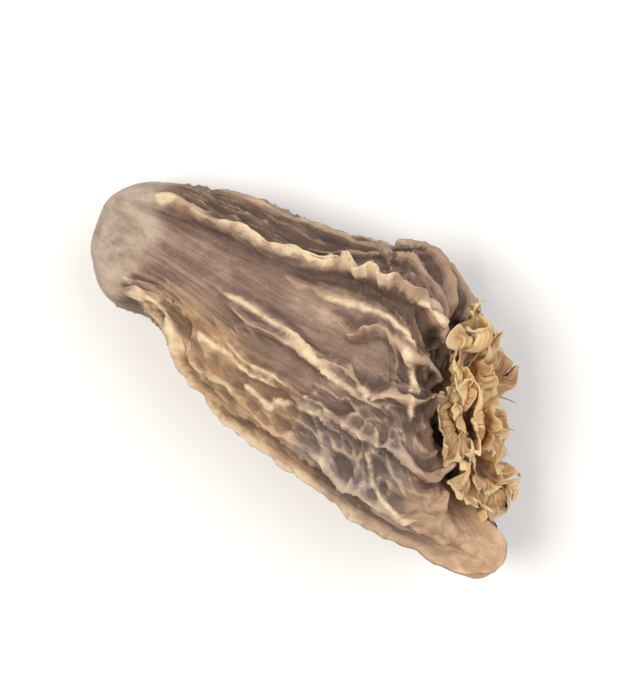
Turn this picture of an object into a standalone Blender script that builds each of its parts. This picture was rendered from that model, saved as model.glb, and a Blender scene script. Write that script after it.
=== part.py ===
"""A dried black cardamom pod lying on its side: a ribbed husk, and the dry flower remnant on its wide end.

The husk is one skin of rows and columns. The rows run from the stem scar to the seat of the flower
remnant, evenly spaced along the skin. The columns follow the ribs, so that each crest is a column.
Sizes are in millimetres until a mesh is made. +X runs along the pod towards the flower end, +Z is up,
and the origin is the middle of the pod's outline, on the surface that it lies on.
"""

import math

import bpy
import numpy as np

MM = 0.001
TINY = 1e-9

# Driving dimensions of the husk, without its ribs
HUSK_LENGTH = 21.2
HALF_WIDTH = 6.6
HALF_HEIGHT = 5.6

# Its outline: the widest place and the stem cap as shares of the length, then how blunt each stretch is
WIDEST_AT = 0.88
STEM_CAP, STEM_CAP_BLUNT = 0.12, 3.2
STEM_SHARE, FLANK_CURVE = 0.38, 1.45
FLOWER_TAPER, FLOWER_BLUNT = 3.2, 2.8

# Flats where the neighbours in the spike pressed on it: angle in degrees, distance as a share of the radius
FLATS = ((14.0, 1.00), (97.0, 0.98), (178.0, 0.97), (236.0, 0.99), (304.0, 1.01))
FLAT_SHARPNESS = 9.0
FLATNESS_STEM, FLATNESS_BELLY = 0.95, 0.7

# The flower end is slanted: its face looks along +X, and somewhat to +Y and up
SLANT_SIDE, SLANT_UP = 0.60, 0.22
SLANT_FROM = 0.55

# The middle line lies a little to +Y at the stem and to -Y at the flower end
STEM_SIDE, STEM_SIDE_OVER = 0.9, (0.15, 0.55)
SEAT_SIDE, SEAT_SIDE_OVER = 0.3, (0.3, 0.85)

# The stem end is cut a little askew, and the -Y flank is drawn in behind it, most at a waist: how far,
# over which stretch from the stem end, and how far from the middle it is drawn in fully
STEM_SLANT, STEM_SLANT_OVER = 0.12, (0.0, 0.15)
FLANK_IN, FLANK_IN_FROM, FLANK_REACH = 0.75, (2.5, 5.0), 3.5
FLANK_EASE, FLANK_EASE_OVER = 0.75, (14.0, 21.0)
WAIST_IN, WAIST_AT, WAIST_LENGTH = 0.25, 5.5, 1.8

# A folded tongue of the husk that stands past the flower end: angle and width in degrees, reach,
# and the shares of the length and of the radius over which it rises
TONGUE_ANGLE, TONGUE_WIDTH, TONGUE_REACH = 168.0, 24.0, 2.3
TONGUE_ALONG, TONGUE_OUT = (0.8, 0.97), (0.4, 0.85)

# The seat of the flower remnant, a dish in the flower end, and the stem's round scar
DISH_RADIUS, DISH_DEPTH, DISH_EDGE = 4.2, 1.5, 1.1
SCAR_RADIUS, SCAR_FLOOR, SCAR_DEPTH = 0.9, 0.18, 0.35

# Ribs: angle in degrees from +Y over the top, start as a share of the skin's run from the stem, height
RIBS = (
    (8.0, 0.20, 0.60),
    (31.0, 0.42, 0.50),
    (54.0, 0.10, 1.30),
    (73.0, 0.52, 0.70),
    (93.0, 0.34, 0.70),
    (116.0, 0.34, 0.75),
    (137.0, 0.42, 0.55),
    (161.0, 0.13, 0.85),
    (184.0, 0.36, 0.60),
    (208.0, 0.22, 0.80),
    (233.0, 0.40, 0.60),
    (258.0, 0.27, 0.75),
    (283.0, 0.38, 0.55),
    (309.0, 0.21, 0.80),
    (335.0, 0.33, 0.65),
)
RIB_ANGLE, RIB_START, RIB_HEIGHT = np.array(RIBS).T
RIB_COUNT = len(RIBS)

# A rib rises after its start, grows towards the belly, and fades on the flower end
RIB_RISE = 0.10
GROWTH_STEM, GROWTH_BELLY, GROWTH_OVER = 0.7, 1.1, (0.3, 0.8)
FADE_SHARE, FADE_OVER = 0.97, (0.81, 0.93)

# Across a rib: a thin wing on a low swell, with a shallow valley between two ribs
WING_THICKNESS, WING_POWER = 0.21, 1.4
SWELL_THICKNESS, SWELL_SHARE = 0.7, 0.15
VALLEY_DEPTH, VALLEY_FROM, VALLEY_TO = 0.12, (0.2, 0.5), (0.84, 0.95)

# Near the stem the ribs of the upper side crowd together: the shift of a rib's angle there
CROWD_AT = (0.0, 54.0, 161.0, 270.0, 360.0)
CROWD_SHIFT = (0.0, 2.0, -43.0, 0.0, 0.0)
CROWD_OVER = (0.17, 0.36)

# At both poles the ribs stand evenly round
EVEN_STEM, EVEN_FLOWER = (0.0, 0.13), (0.88, 1.0)

# Waves along a rib's run: how many, and how much of each. They move the crest sideways by some degrees,
# notch its height, and lean it over
WAVE_COUNTS = np.array((3.1, 5.7, 9.3))
WAVE_SHARES = np.array((0.45, 0.33, 0.22))
SWAY_STEM, SWAY_FLOWER, SWAY_OVER = 1.5, 5.5, (0.4, 0.85)
SWAY_FROM, SWAY_TO = (0.05, 0.2), (0.86, 0.97)
NOTCH_SHARE = 0.38
LEAN = 0.45

# Lumps of the dried skin: waves round, waves along, height
LUMPS = ((2, 1.3, 0.14), (3, 2.2, 0.12), (5, 3.1, 0.08), (7, 4.3, 0.06))
LUMPS_FROM, LUMPS_TO = (0.02, 0.15), (0.82, 0.93)

# How it lies: the stem end hangs down, the lowest ribs are pressed low, and the lowest skin is flat
PITCH = 7.5
FLAT_DEPTH = 0.3
PRESSED_AT, PRESSED_WIDTH, PRESSED_SHARE = 270.0, 34.0, 0.75

# The grid of the husk: its rows, and the places of the columns between one rib and the next
HUSK_ROWS = 50
COLUMN_PLACES = (0.0, 0.08, 0.19, 0.5, 0.81, 0.92)
FINE_STEPS = 4001

# The flower remnant: a ragged papery crown on a short, wide neck with a small heart, all of one piece
CROWN_TEETH = 15
COLUMNS_PER_TOOTH = 7
WALL_STEPS = 6
NECK_RADIUS, NECK_HEIGHT = 2.9, 0.9
PLUG_DEPTH = 0.84
CROWN_RISE = 1.2
TOOTH_LENGTH = 1.6
CROWN_HEIGHT_SHARE = 0.85
PAPER_THICKNESS, EDGE_THINNING = 0.66, 0.92
FLARE_ROOT, FLARE_TIP = 72.0, 46.0
TOOTH_ROOT = 0.25
RAGGED_LEAST = 0.62
FOOT_RADIUS, FOOT_HEIGHT = 0.7 * NECK_RADIUS, 0.35 * NECK_HEIGHT
HEART_RADIUS, HEART_FOOT, HEART_HEIGHT = 0.3 * NECK_RADIUS, 0.8, 1.9

# Finishes
HUSK_COLOUR, HUSK_ROUGHNESS = (0.27, 0.185, 0.13), 0.62
CALYX_COLOUR, CALYX_ROUGHNESS = (0.48, 0.31, 0.15), 0.55
SHARP_FROM = 38.0

RANDOM = np.random.default_rng(20)
SWAY_PHASE = RANDOM.uniform(0, 2 * math.pi, (RIB_COUNT, 3))
NOTCH_PHASE = RANDOM.uniform(0, 2 * math.pi, (RIB_COUNT, 3))
LEAN_PHASE = RANDOM.uniform(0, 2 * math.pi, (RIB_COUNT, 3))
LUMP_PHASE = RANDOM.uniform(0, 2 * math.pi, len(LUMPS))
TOOTH_SHARE = RANDOM.uniform(0.35, 1.0, CROWN_TEETH)
TOOTH_CURL = RANDOM.uniform(-22.0, 26.0, CROWN_TEETH)
TOOTH_POINT = RANDOM.uniform(0.35, 1.1, CROWN_TEETH)
TOOTH_TURN = RANDOM.uniform(-0.1, 0.1, CROWN_TEETH)
RAGGED = RANDOM.uniform(RAGGED_LEAST, 1.0, CROWN_TEETH * COLUMNS_PER_TOOTH)


def smoothstep(low, high, x):
    """0 below low, 1 above high, and a smooth rise between."""
    share = np.clip((x - low) / (high - low), 0, 1)
    return share * share * (3 - 2 * share)


def waves(phase, along):
    """A sum of three waves for each rib, from -1 to 1. Rows are places along, and columns are ribs."""
    turns = 2 * math.pi * along[:, None, None] * WAVE_COUNTS
    return (WAVE_SHARES * np.sin(turns + phase)).sum(axis=2)


def outline(length_share):
    """Radius as a share of the widest: blunt cap, nearly straight flank, then a superellipse quarter."""
    cap = (1 - np.clip(1 - length_share / STEM_CAP, 0, 1) ** 2) ** (1 / STEM_CAP_BLUNT)
    flank = 1 - (1 - STEM_SHARE) * np.clip(1 - length_share / WIDEST_AT, 0, 1) ** FLANK_CURVE
    past = np.clip((length_share - WIDEST_AT) / (1 - WIDEST_AT), 0, 1)
    return cap * flank * (1 - past**FLOWER_TAPER) ** (1 / FLOWER_BLUNT)


def even_rows(count):
    """Shares of the length at rows evenly spaced along the skin, from one pole to the other."""
    share = (1 - np.cos(np.linspace(0, math.pi, FINE_STEPS))) / 2
    step = np.hypot(np.diff(share) * HUSK_LENGTH, np.diff(outline(share)) * HALF_WIDTH)
    run = np.concatenate([[0], np.cumsum(step)])
    return np.interp(np.linspace(0, run[-1], count), run, share)


def rib_angles(along):
    """Each rib's angle in radians along the run, before it sways: even at the poles, its own between."""
    crowded = 1 - smoothstep(*CROWD_OVER, along)
    own = RIB_ANGLE + crowded[:, None] * np.interp(RIB_ANGLE, CROWD_AT, CROWD_SHIFT)
    even = RIB_ANGLE[0] + 360 / RIB_COUNT * np.arange(RIB_COUNT)
    free = smoothstep(*EVEN_STEM, along) * (1 - smoothstep(*EVEN_FLOWER, along))
    return np.radians(even + (own - even) * free[:, None])


def rib_heights(along):
    """Each rib's height at each place along, with its notches. Those underneath are pressed low."""
    rise = smoothstep(RIB_START, RIB_START + RIB_RISE, along[:, None])
    growth = GROWTH_STEM + (GROWTH_BELLY - GROWTH_STEM) * smoothstep(*GROWTH_OVER, along)[:, None]
    notches = 1 + NOTCH_SHARE * waves(NOTCH_PHASE, along)
    fade = 1 - FADE_SHARE * smoothstep(*FADE_OVER, along)[:, None]
    pressed = PRESSED_SHARE * np.exp(-(((RIB_ANGLE - PRESSED_AT) / PRESSED_WIDTH) ** 2))
    return RIB_HEIGHT * rise * growth * notches * fade * (1 - pressed)


def section(angle, flatness):
    """Radius round the pod as a share: a polygon of flats with round corners, mixed with a circle."""
    total = sum(
        (np.clip(np.cos(angle - math.radians(at)), 0, 1) / far) ** FLAT_SHARPNESS
        for at, far in FLATS
    )
    return 1 + flatness * (total ** (-1 / FLAT_SHARPNESS) - 1)


def body_surface(length_share, angle):
    """The smooth body under the ribs. Rows share a place along the pod, and columns go round it."""
    share = length_share[:, None]
    radius = outline(share)
    ring = radius * section(angle, FLATNESS_STEM + (FLATNESS_BELLY - FLATNESS_STEM) * share)
    side = ring * HALF_WIDTH * np.cos(angle)
    up = ring * HALF_HEIGHT * np.sin(angle)
    far_end = smoothstep(SLANT_FROM, 1.0, share)
    along = HUSK_LENGTH * share - far_end * (SLANT_SIDE * side + SLANT_UP * up)
    flower_side = share > WIDEST_AT
    across = radius * HALF_WIDTH
    dish = 1 - smoothstep(DISH_RADIUS - DISH_EDGE, DISH_RADIUS + DISH_EDGE, across)
    scar = 1 - smoothstep(SCAR_FLOOR, SCAR_RADIUS, across)
    along = along - np.where(flower_side, DISH_DEPTH * dish, -SCAR_DEPTH * scar)
    off = (np.degrees(angle) - TONGUE_ANGLE) / TONGUE_WIDTH
    tongue = np.exp(-off * off) * smoothstep(*TONGUE_ALONG, share) * smoothstep(*TONGUE_OUT, radius)
    along = along + TONGUE_REACH * tongue - STEM_SLANT * side * (1 - smoothstep(*STEM_SLANT_OVER, share))
    run = HUSK_LENGTH * share
    flank = FLANK_IN * smoothstep(*FLANK_IN_FROM, run) * (1 - FLANK_EASE * smoothstep(*FLANK_EASE_OVER, run))
    waist = WAIST_IN * np.exp(-(((run - WAIST_AT) / WAIST_LENGTH) ** 2))
    side = side + (flank + waist) * smoothstep(0, FLANK_REACH, -side)
    side = side + STEM_SIDE * (1 - smoothstep(*STEM_SIDE_OVER, share))
    side = side + SEAT_SIDE * smoothstep(*SEAT_SIDE_OVER, share)
    return np.stack([along, side, up], axis=-1)


def normals_of(points):
    """Outward unit normals of a closed ring grid."""
    down = np.gradient(points, axis=0)
    round_it = np.roll(points, -1, axis=1) - np.roll(points, 1, axis=1)
    normal = np.cross(round_it, down)
    length = np.linalg.norm(normal, axis=-1, keepdims=True)
    return normal / np.maximum(length, TINY)


def husk_surface(row_count, places):
    """The husk's grid of points: the smooth body, with ribs, valleys and lumps raised along its normals."""
    length_share = even_rows(row_count)
    along = np.linspace(0, 1, row_count)
    rib = np.repeat(np.arange(RIB_COUNT), len(places))
    place = np.tile(np.array(places), RIB_COUNT)
    near = np.where(place < 0.5, rib, (rib + 1) % RIB_COUNT)
    off = np.minimum(place, 1 - place)

    angles = rib_angles(along)
    following = np.roll(angles, -1, axis=1)
    following[:, -1] += 2 * math.pi
    angle = angles[:, rib] + (following - angles)[:, rib] * place
    gap = (following - angles)[:, rib]

    radius = outline(length_share)[:, None] * HALF_WIDTH
    distance = off * gap * radius
    swell = np.exp(-((distance / SWELL_THICKNESS) ** 2))
    wing = np.exp(-((distance / WING_THICKNESS) ** WING_POWER))
    height = rib_heights(along)[:, near]

    sway = np.radians(SWAY_STEM + (SWAY_FLOWER - SWAY_STEM) * smoothstep(*SWAY_OVER, along))
    sway = sway * smoothstep(*SWAY_FROM, along) * (1 - smoothstep(*SWAY_TO, along))
    angle = angle + sway[:, None] * waves(SWAY_PHASE, along)[:, near] * (1 - 2 * off)

    points = body_surface(length_share, angle)
    normal = normals_of(points)
    raised = height * (SWELL_SHARE * swell + (1 - SWELL_SHARE) * wing)
    valley = smoothstep(*VALLEY_FROM, along) * (1 - smoothstep(*VALLEY_TO, along))
    valley = VALLEY_DEPTH * (1 - (1 - 2 * off) ** 2) * valley[:, None]
    round_pod = 2 * math.pi * (rib + place) / RIB_COUNT
    lumps = sum(
        tall * np.sin(turns * round_pod + 2 * math.pi * runs * along[:, None] + phase)
        for (turns, runs, tall), phase in zip(LUMPS, LUMP_PHASE)
    )
    lumps = lumps * (smoothstep(*LUMPS_FROM, along) * (1 - smoothstep(*LUMPS_TO, along)))[:, None]
    points = points + normal * (raised - valley + lumps)[..., None]

    unpressed = 0.5 + 0.5 * np.sin(angle)
    lean = LEAN * waves(LEAN_PHASE, along)[:, near] * wing * height * unpressed
    tangent = np.stack([np.zeros_like(angle), -np.sin(angle), np.cos(angle)], axis=-1)
    return points + tangent * lean[..., None]


def laid_down(points):
    """Turns the pod about its side axis so that the stem end hangs down, with the flat spot at height 0."""
    turn = math.radians(PITCH)
    along, side, up = np.moveaxis(points, -1, 0)
    height = along * math.sin(turn) + up * math.cos(turn) - floor_height()
    return np.stack([along * math.cos(turn) - up * math.sin(turn), side, height], axis=-1)


def floor_height():
    """Height of the flat spot once the pod is turned, a little above the smooth body's lowest point."""
    turn = math.radians(PITCH)
    angle = np.radians(np.tile(np.arange(0.0, 360.0, 2.0), (HUSK_ROWS, 1)))
    along, _, up = np.moveaxis(body_surface(even_rows(HUSK_ROWS), angle), -1, 0)
    return (along * math.sin(turn) + up * math.cos(turn)).min() + FLAT_DEPTH


def add_solid(name, grid, material):
    """A closed mesh from a ring grid whose first and last rows are poles."""
    rows, columns = grid.shape[0] - 2, grid.shape[1]
    rings = grid[1:-1].reshape(-1, 3)
    poles = grid[[0, -1]].mean(axis=1)
    points = np.concatenate([rings, poles]) * MM
    first, last = len(rings), len(rings) + 1
    faces = []
    for column in range(columns):
        beside = (column + 1) % columns
        faces.append((first, beside, column))
        for row in range(rows - 1):
            here, below = row * columns, (row + 1) * columns
            faces.append((here + column, here + beside, below + beside, below + column))
        end = (rows - 1) * columns
        faces.append((last, end + column, end + beside))
    mesh = bpy.data.meshes.new(name)
    mesh.from_pydata(points.tolist(), [], faces)
    mesh.validate()
    mesh.shade_smooth()
    mesh.set_sharp_from_angle(angle=math.radians(SHARP_FROM))
    mesh.materials.append(material)
    obj = bpy.data.objects.new(name, mesh)
    bpy.context.scene.collection.objects.link(obj)
    return obj


def make_material(name, colour, roughness):
    """A plain finish of that colour and roughness."""
    material = bpy.data.materials.new(name)
    material.use_nodes = True
    shader = material.node_tree.nodes["Principled BSDF"]
    shader.inputs["Base Color"].default_value = (*colour, 1)
    shader.inputs["Roughness"].default_value = roughness
    shader.inputs["Metallic"].default_value = 0
    return material


def husk_points():
    """The ribbed husk as it lies, with its lowest skin pressed to a flat spot at height 0."""
    points = laid_down(husk_surface(HUSK_ROWS, COLUMN_PLACES))
    points[..., 2] = np.maximum(points[..., 2], 0)
    return points


def crown_wall(angle, tooth_share, curl):
    """One column of the crown, from the foot up the outside, over the ragged edge and down the inside.

    The paper flares at the neck, and bends forward with a steady bend towards its torn edge.
    """
    reach = CROWN_RISE + TOOTH_LENGTH * tooth_share
    run = np.linspace(0, reach, WALL_STEPS)
    bent = run / (CROWN_RISE + TOOTH_LENGTH)
    bend = np.radians(FLARE_ROOT * (1 - bent) + (FLARE_TIP + curl) * bent)
    middle = (bend[1:] + bend[:-1]) / 2
    step = np.diff(run)
    out = NECK_RADIUS + np.concatenate([[0], np.cumsum(step * np.sin(middle))])
    up = NECK_HEIGHT + np.concatenate([[0], np.cumsum(step * np.cos(middle))])
    half = PAPER_THICKNESS / 2 * np.linspace(1.0, EDGE_THINNING, WALL_STEPS)
    outside = np.stack([out + half * np.cos(bend), up - half * np.sin(bend)])
    inside = np.stack([out - half * np.cos(bend), up + half * np.sin(bend)])
    edge_out = out[-1] + half[-1] * np.sin(bend[-1])
    edge_up = up[-1] + half[-1] * np.cos(bend[-1])
    foot = np.array([[0, FOOT_RADIUS, NECK_RADIUS + half[0]], [0, 0, FOOT_HEIGHT]])
    heart = np.array([[HEART_RADIUS, 0], [HEART_FOOT, HEART_HEIGHT]])
    profile = np.concatenate([foot, outside, [[edge_out], [edge_up]], inside[:, ::-1], heart], axis=1)
    return np.stack([profile[0] * math.cos(angle), profile[0] * math.sin(angle), profile[1]], axis=-1)


def crown_surface():
    """The crown's grid in its own frame, with its foot at height 0 and +Z out of the neck."""
    walls = []
    for column in range(CROWN_TEETH * COLUMNS_PER_TOOTH):
        tooth, step = divmod(column, COLUMNS_PER_TOOTH)
        after = (tooth + 1) % CROWN_TEETH
        mix = step / COLUMNS_PER_TOOTH
        nearest = tooth if mix < 0.5 else after
        peak = abs(math.cos(math.pi * mix)) ** TOOTH_POINT[nearest] * RAGGED[column]
        curl = TOOTH_CURL[tooth] * (1 - mix) + TOOTH_CURL[after] * mix
        turn = TOOTH_TURN[tooth] * (1 - mix) + TOOTH_TURN[after] * mix
        angle = 2 * math.pi * (tooth + mix) / CROWN_TEETH + turn
        walls.append(crown_wall(angle, TOOTH_ROOT + peak * TOOTH_SHARE[nearest], curl))
    return np.stack(walls, axis=1)


def calyx_points():
    """The flower remnant as it lies, in the dish of the flower end and square to that slanted face."""
    crown = crown_surface()
    outward = np.array([1.0, SLANT_SIDE, SLANT_UP])
    outward = outward / np.linalg.norm(outward)
    sideways = np.cross((0.0, 0.0, 1.0), outward)
    sideways = sideways / np.linalg.norm(sideways)
    upward = np.cross(outward, sideways)
    seat = np.array([HUSK_LENGTH - DISH_DEPTH, SEAT_SIDE, 0.0]) + outward * (DISH_DEPTH - PLUG_DEPTH)
    points = (
        seat
        + crown[..., :1] * sideways
        + crown[..., 1:2] * upward * CROWN_HEIGHT_SHARE
        + crown[..., 2:] * outward
    )
    return laid_down(points)


def main():
    """Models both pieces and centres them over the origin."""
    for old in list(bpy.data.objects):
        bpy.data.objects.remove(old, do_unlink=True)
    husk, calyx = husk_points(), calyx_points()
    outer = np.concatenate([husk.reshape(-1, 3), calyx.reshape(-1, 3)])
    middle = (outer.min(axis=0) + outer.max(axis=0)) / 2 * (1, 1, 0)
    add_solid("husk", husk - middle, make_material("dry_husk", HUSK_COLOUR, HUSK_ROUGHNESS))
    add_solid("calyx", calyx - middle, make_material("dry_calyx", CALYX_COLOUR, CALYX_ROUGHNESS))


main()
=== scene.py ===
"""The looks of a dried black cardamom pod: its wrinkled husk and the torn golden remnant of its flower.

Shapes are worked out in millimetres, in the same way as the solids: a ring grid runs from the stem to the
flower end in rows, and round the pod in columns that follow the ribs. +X runs towards the flower end.
"""

import math

import bpy
import numpy as np
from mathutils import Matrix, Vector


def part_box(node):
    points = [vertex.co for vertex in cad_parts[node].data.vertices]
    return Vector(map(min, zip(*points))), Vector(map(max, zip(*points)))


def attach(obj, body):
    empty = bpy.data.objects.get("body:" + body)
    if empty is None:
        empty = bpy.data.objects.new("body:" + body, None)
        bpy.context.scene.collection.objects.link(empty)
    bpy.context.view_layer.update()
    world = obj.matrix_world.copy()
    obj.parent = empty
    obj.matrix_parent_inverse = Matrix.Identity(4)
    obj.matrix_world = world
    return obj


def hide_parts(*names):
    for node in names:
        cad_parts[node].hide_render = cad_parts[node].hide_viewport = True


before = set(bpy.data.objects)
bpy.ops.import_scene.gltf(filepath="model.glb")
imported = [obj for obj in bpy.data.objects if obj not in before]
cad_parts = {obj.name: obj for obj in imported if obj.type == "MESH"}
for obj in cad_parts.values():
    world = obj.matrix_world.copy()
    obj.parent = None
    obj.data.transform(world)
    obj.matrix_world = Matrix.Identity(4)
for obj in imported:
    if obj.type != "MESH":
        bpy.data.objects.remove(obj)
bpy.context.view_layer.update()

MM = 0.001
TINY = 1e-9

# The husk without its ribs: length, half width, half height, then the shares that shape its outline
HUSK_LENGTH = 21.2
HALF_WIDTH = 6.6
HALF_HEIGHT = 5.6
WIDEST_AT = 0.88
STEM_CAP, STEM_CAP_BLUNT = 0.12, 3.2
STEM_SHARE, FLANK_CURVE = 0.38, 1.45
FLOWER_TAPER, FLOWER_BLUNT = 3.2, 2.8

# Flats where the neighbours in the spike pressed on it: angle in degrees, distance as a share of the radius
FLATS = ((14.0, 1.00), (97.0, 0.98), (178.0, 0.97), (236.0, 0.99), (304.0, 1.01))
FLAT_SHARPNESS = 9.0
FLATNESS_STEM, FLATNESS_BELLY = 0.95, 0.7

# The slanted flower end, the bend of the middle line, the drawn-in flank with its waist behind the slanted
# stem end, the folded tongue, the dish and the stem scar
SLANT_SIDE, SLANT_UP = 0.60, 0.22
SLANT_FROM = 0.55
STEM_SIDE, STEM_SIDE_OVER = 0.9, (0.15, 0.55)
SEAT_SIDE, SEAT_SIDE_OVER = 0.3, (0.3, 0.85)
STEM_SLANT, STEM_SLANT_OVER = 0.12, (0.0, 0.15)
FLANK_IN, FLANK_IN_FROM, FLANK_REACH = 0.75, (2.5, 5.0), 3.5
FLANK_EASE, FLANK_EASE_OVER = 0.75, (14.0, 21.0)
WAIST_IN, WAIST_AT, WAIST_LENGTH = 0.25, 5.5, 1.8
TONGUE_ANGLE, TONGUE_WIDTH, TONGUE_REACH = 168.0, 24.0, 2.3
TONGUE_ALONG, TONGUE_OUT = (0.8, 0.97), (0.4, 0.85)
DISH_RADIUS, DISH_DEPTH, DISH_EDGE = 4.2, 1.5, 1.1
SCAR_RADIUS, SCAR_FLOOR, SCAR_DEPTH = 0.9, 0.18, 0.35

# Ribs: angle in degrees from +Y over the top, start as a share of the skin's run from the stem, height
RIBS = (
    (8.0, 0.20, 0.60),
    (31.0, 0.42, 0.50),
    (54.0, 0.10, 1.30),
    (73.0, 0.52, 0.70),
    (93.0, 0.34, 0.70),
    (116.0, 0.34, 0.75),
    (137.0, 0.42, 0.55),
    (161.0, 0.13, 0.85),
    (184.0, 0.36, 0.60),
    (208.0, 0.22, 0.80),
    (233.0, 0.40, 0.60),
    (258.0, 0.27, 0.75),
    (283.0, 0.38, 0.55),
    (309.0, 0.21, 0.80),
    (335.0, 0.33, 0.65),
)
RIB_ANGLE, RIB_START, RIB_HEIGHT = np.array(RIBS).T
RIB_COUNT = len(RIBS)

# How pale each rib's crest is painted: partly wear, partly painted highlight
RIB_PALE = np.array((0.5, 0.3, 1.1, 0.4, 0.35, 0.6, 0.5, 0.8, 0.8, 0.5, 0.35, 0.3, 0.35, 0.45, 0.4))

RIB_RISE = 0.10
GROWTH_STEM, GROWTH_BELLY, GROWTH_OVER = 0.7, 1.1, (0.3, 0.8)
FADE_SHARE, FADE_OVER = 0.97, (0.81, 0.93)
WING_THICKNESS, WING_POWER = 0.17, 1.4
SWELL_THICKNESS, SWELL_SHARE = 0.7, 0.15
VALLEY_DEPTH, VALLEY_FROM, VALLEY_TO = 0.12, (0.2, 0.5), (0.84, 0.95)
CROWD_AT = (0.0, 54.0, 161.0, 270.0, 360.0)
CROWD_SHIFT = (0.0, 2.0, -31.0, 0.0, 0.0)
CROWD_OVER = (0.26, 0.44)
EVEN_STEM, EVEN_FLOWER = (0.0, 0.13), (0.88, 1.0)

# Waves along a rib: they move its crest sideways by some degrees, notch its height, and lean it over
WAVE_COUNTS = np.array((3.1, 5.7, 9.3))
WAVE_SHARES = np.array((0.45, 0.33, 0.22))
SWAY_STEM, SWAY_FLOWER, SWAY_OVER = 1.5, 5.5, (0.4, 0.85)
SWAY_FROM, SWAY_TO = (0.05, 0.2), (0.86, 0.97)
NOTCH_SHARE = 0.38
LEAN = 0.45

# Lumps of the dried skin: waves round, waves along, height
LUMPS = ((2, 1.3, 0.14), (3, 2.2, 0.12), (5, 3.1, 0.08), (7, 4.3, 0.06))
LUMPS_FROM, LUMPS_TO = (0.02, 0.15), (0.82, 0.93)

# How it lies
PITCH = 7.5
FLAT_DEPTH = 0.3
PRESSED_AT, PRESSED_WIDTH, PRESSED_SHARE = 270.0, 34.0, 0.75

# The solids' own grid, which sets how the pod is centred over the origin
SOLID_ROWS = 50
SOLID_PLACES = np.array((0.0, 0.08, 0.19, 0.5, 0.81, 0.92))
FINE_STEPS = 4001

# The fine grid of the husk: columns crowd towards the crests
SKIN_ROWS = 262
SKIN_COLUMNS_PER_RIB = 25
CREST_CROWDING = 0.6
GRAIN_RADIUS, GRAIN_RUN = 6.0, 24.0

# The crests above this height are worn down by this share of what stands over it
WORN_FROM, WORN_SHARE = 11.9, 0.45

# The flower remnant's crown, as in the solid: neck, rise of the paper, longest strip, flare in degrees. Then
# how far its lip rolls back in degrees, how frayed it and the inner layers are, and its own fine grid
CROWN_TEETH = 15
NECK_RADIUS, NECK_HEIGHT = 2.9, 0.9
PLUG_DEPTH = 0.84
CROWN_RISE = 1.2
TOOTH_LENGTH = 1.6
CROWN_HEIGHT_SHARE = 0.85
FLARE_ROOT, FLARE_TIP = 72.0, 46.0
TOOTH_ROOT = 0.25
OUTER_LIP, OUTER_FRAY, LAYER_FRAY = 80.0, 0.05, 0.07
STRIP_COLUMNS = 26
PAPER_STEPS = 34
PAPER = 0.16
FIBRE_COUNT, FIBRE_STEPS, FIBRE_SIDES, FIBRE_RADIUS = 22, 12, 6, 0.055

# A strip of the crown that has rolled into a loop: its strips, then its place across, up and out of the neck
CURL_SHARE = (1.0, 0.7, 0.9, 0.6, 0.8)
CURL_NECK, CURL_RISE, CURL_LENGTH, CURL_FLARE, CURL_LIP = 0.8, 0.9, 0.8, (12.0, -6.0), 50.0
CURL_AT, CURL_WIDE, CURL_SHALLOW, CURL_FRAY = (-0.9, 2.5, 1.65), 1.5, 0.9, 0.05

# The layers inside the outer crown: piece, strips, neck, rise, longest strip, flare and lip in degrees
CROWN_LAYERS = (
    ("middle_torn_crown", 9, 2.6, 0.9, 1.7, (66.0, 22.0), 90.0),
    ("inner_torn_crown", 6, 1.5, 0.7, 1.7, (52.0, 14.0), 90.0),
)

# Between what values a strip of theirs lies: length as a share, curl in degrees, pointedness, turn in radians
LAYER_SPANS = ((0.3, 1.0), (-30, 30), (0.4, 1.6), (-0.15, 0.15))

# Soft patches of the skin: angle in degrees, share of the run, half width in degrees, half length as a share.
# The plum and tongue patches are smoother, the others are rougher or only coloured. The upper flank patch is
# painted shade, where the flank faces away from the light
PATCHES = {
    "gold": (138, 0.42, 30, 0.19),
    "tongue": (160, 0.83, 34, 0.11),
    "plum": (75, 0.42, 19, 0.25),
    "rubbed": (88, 0.60, 30, 0.14),
    "shaded_upper_flank": (22, 0.42, 22, 0.26),
    "grey": (122, 0.66, 30, 0.10),
}
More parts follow.
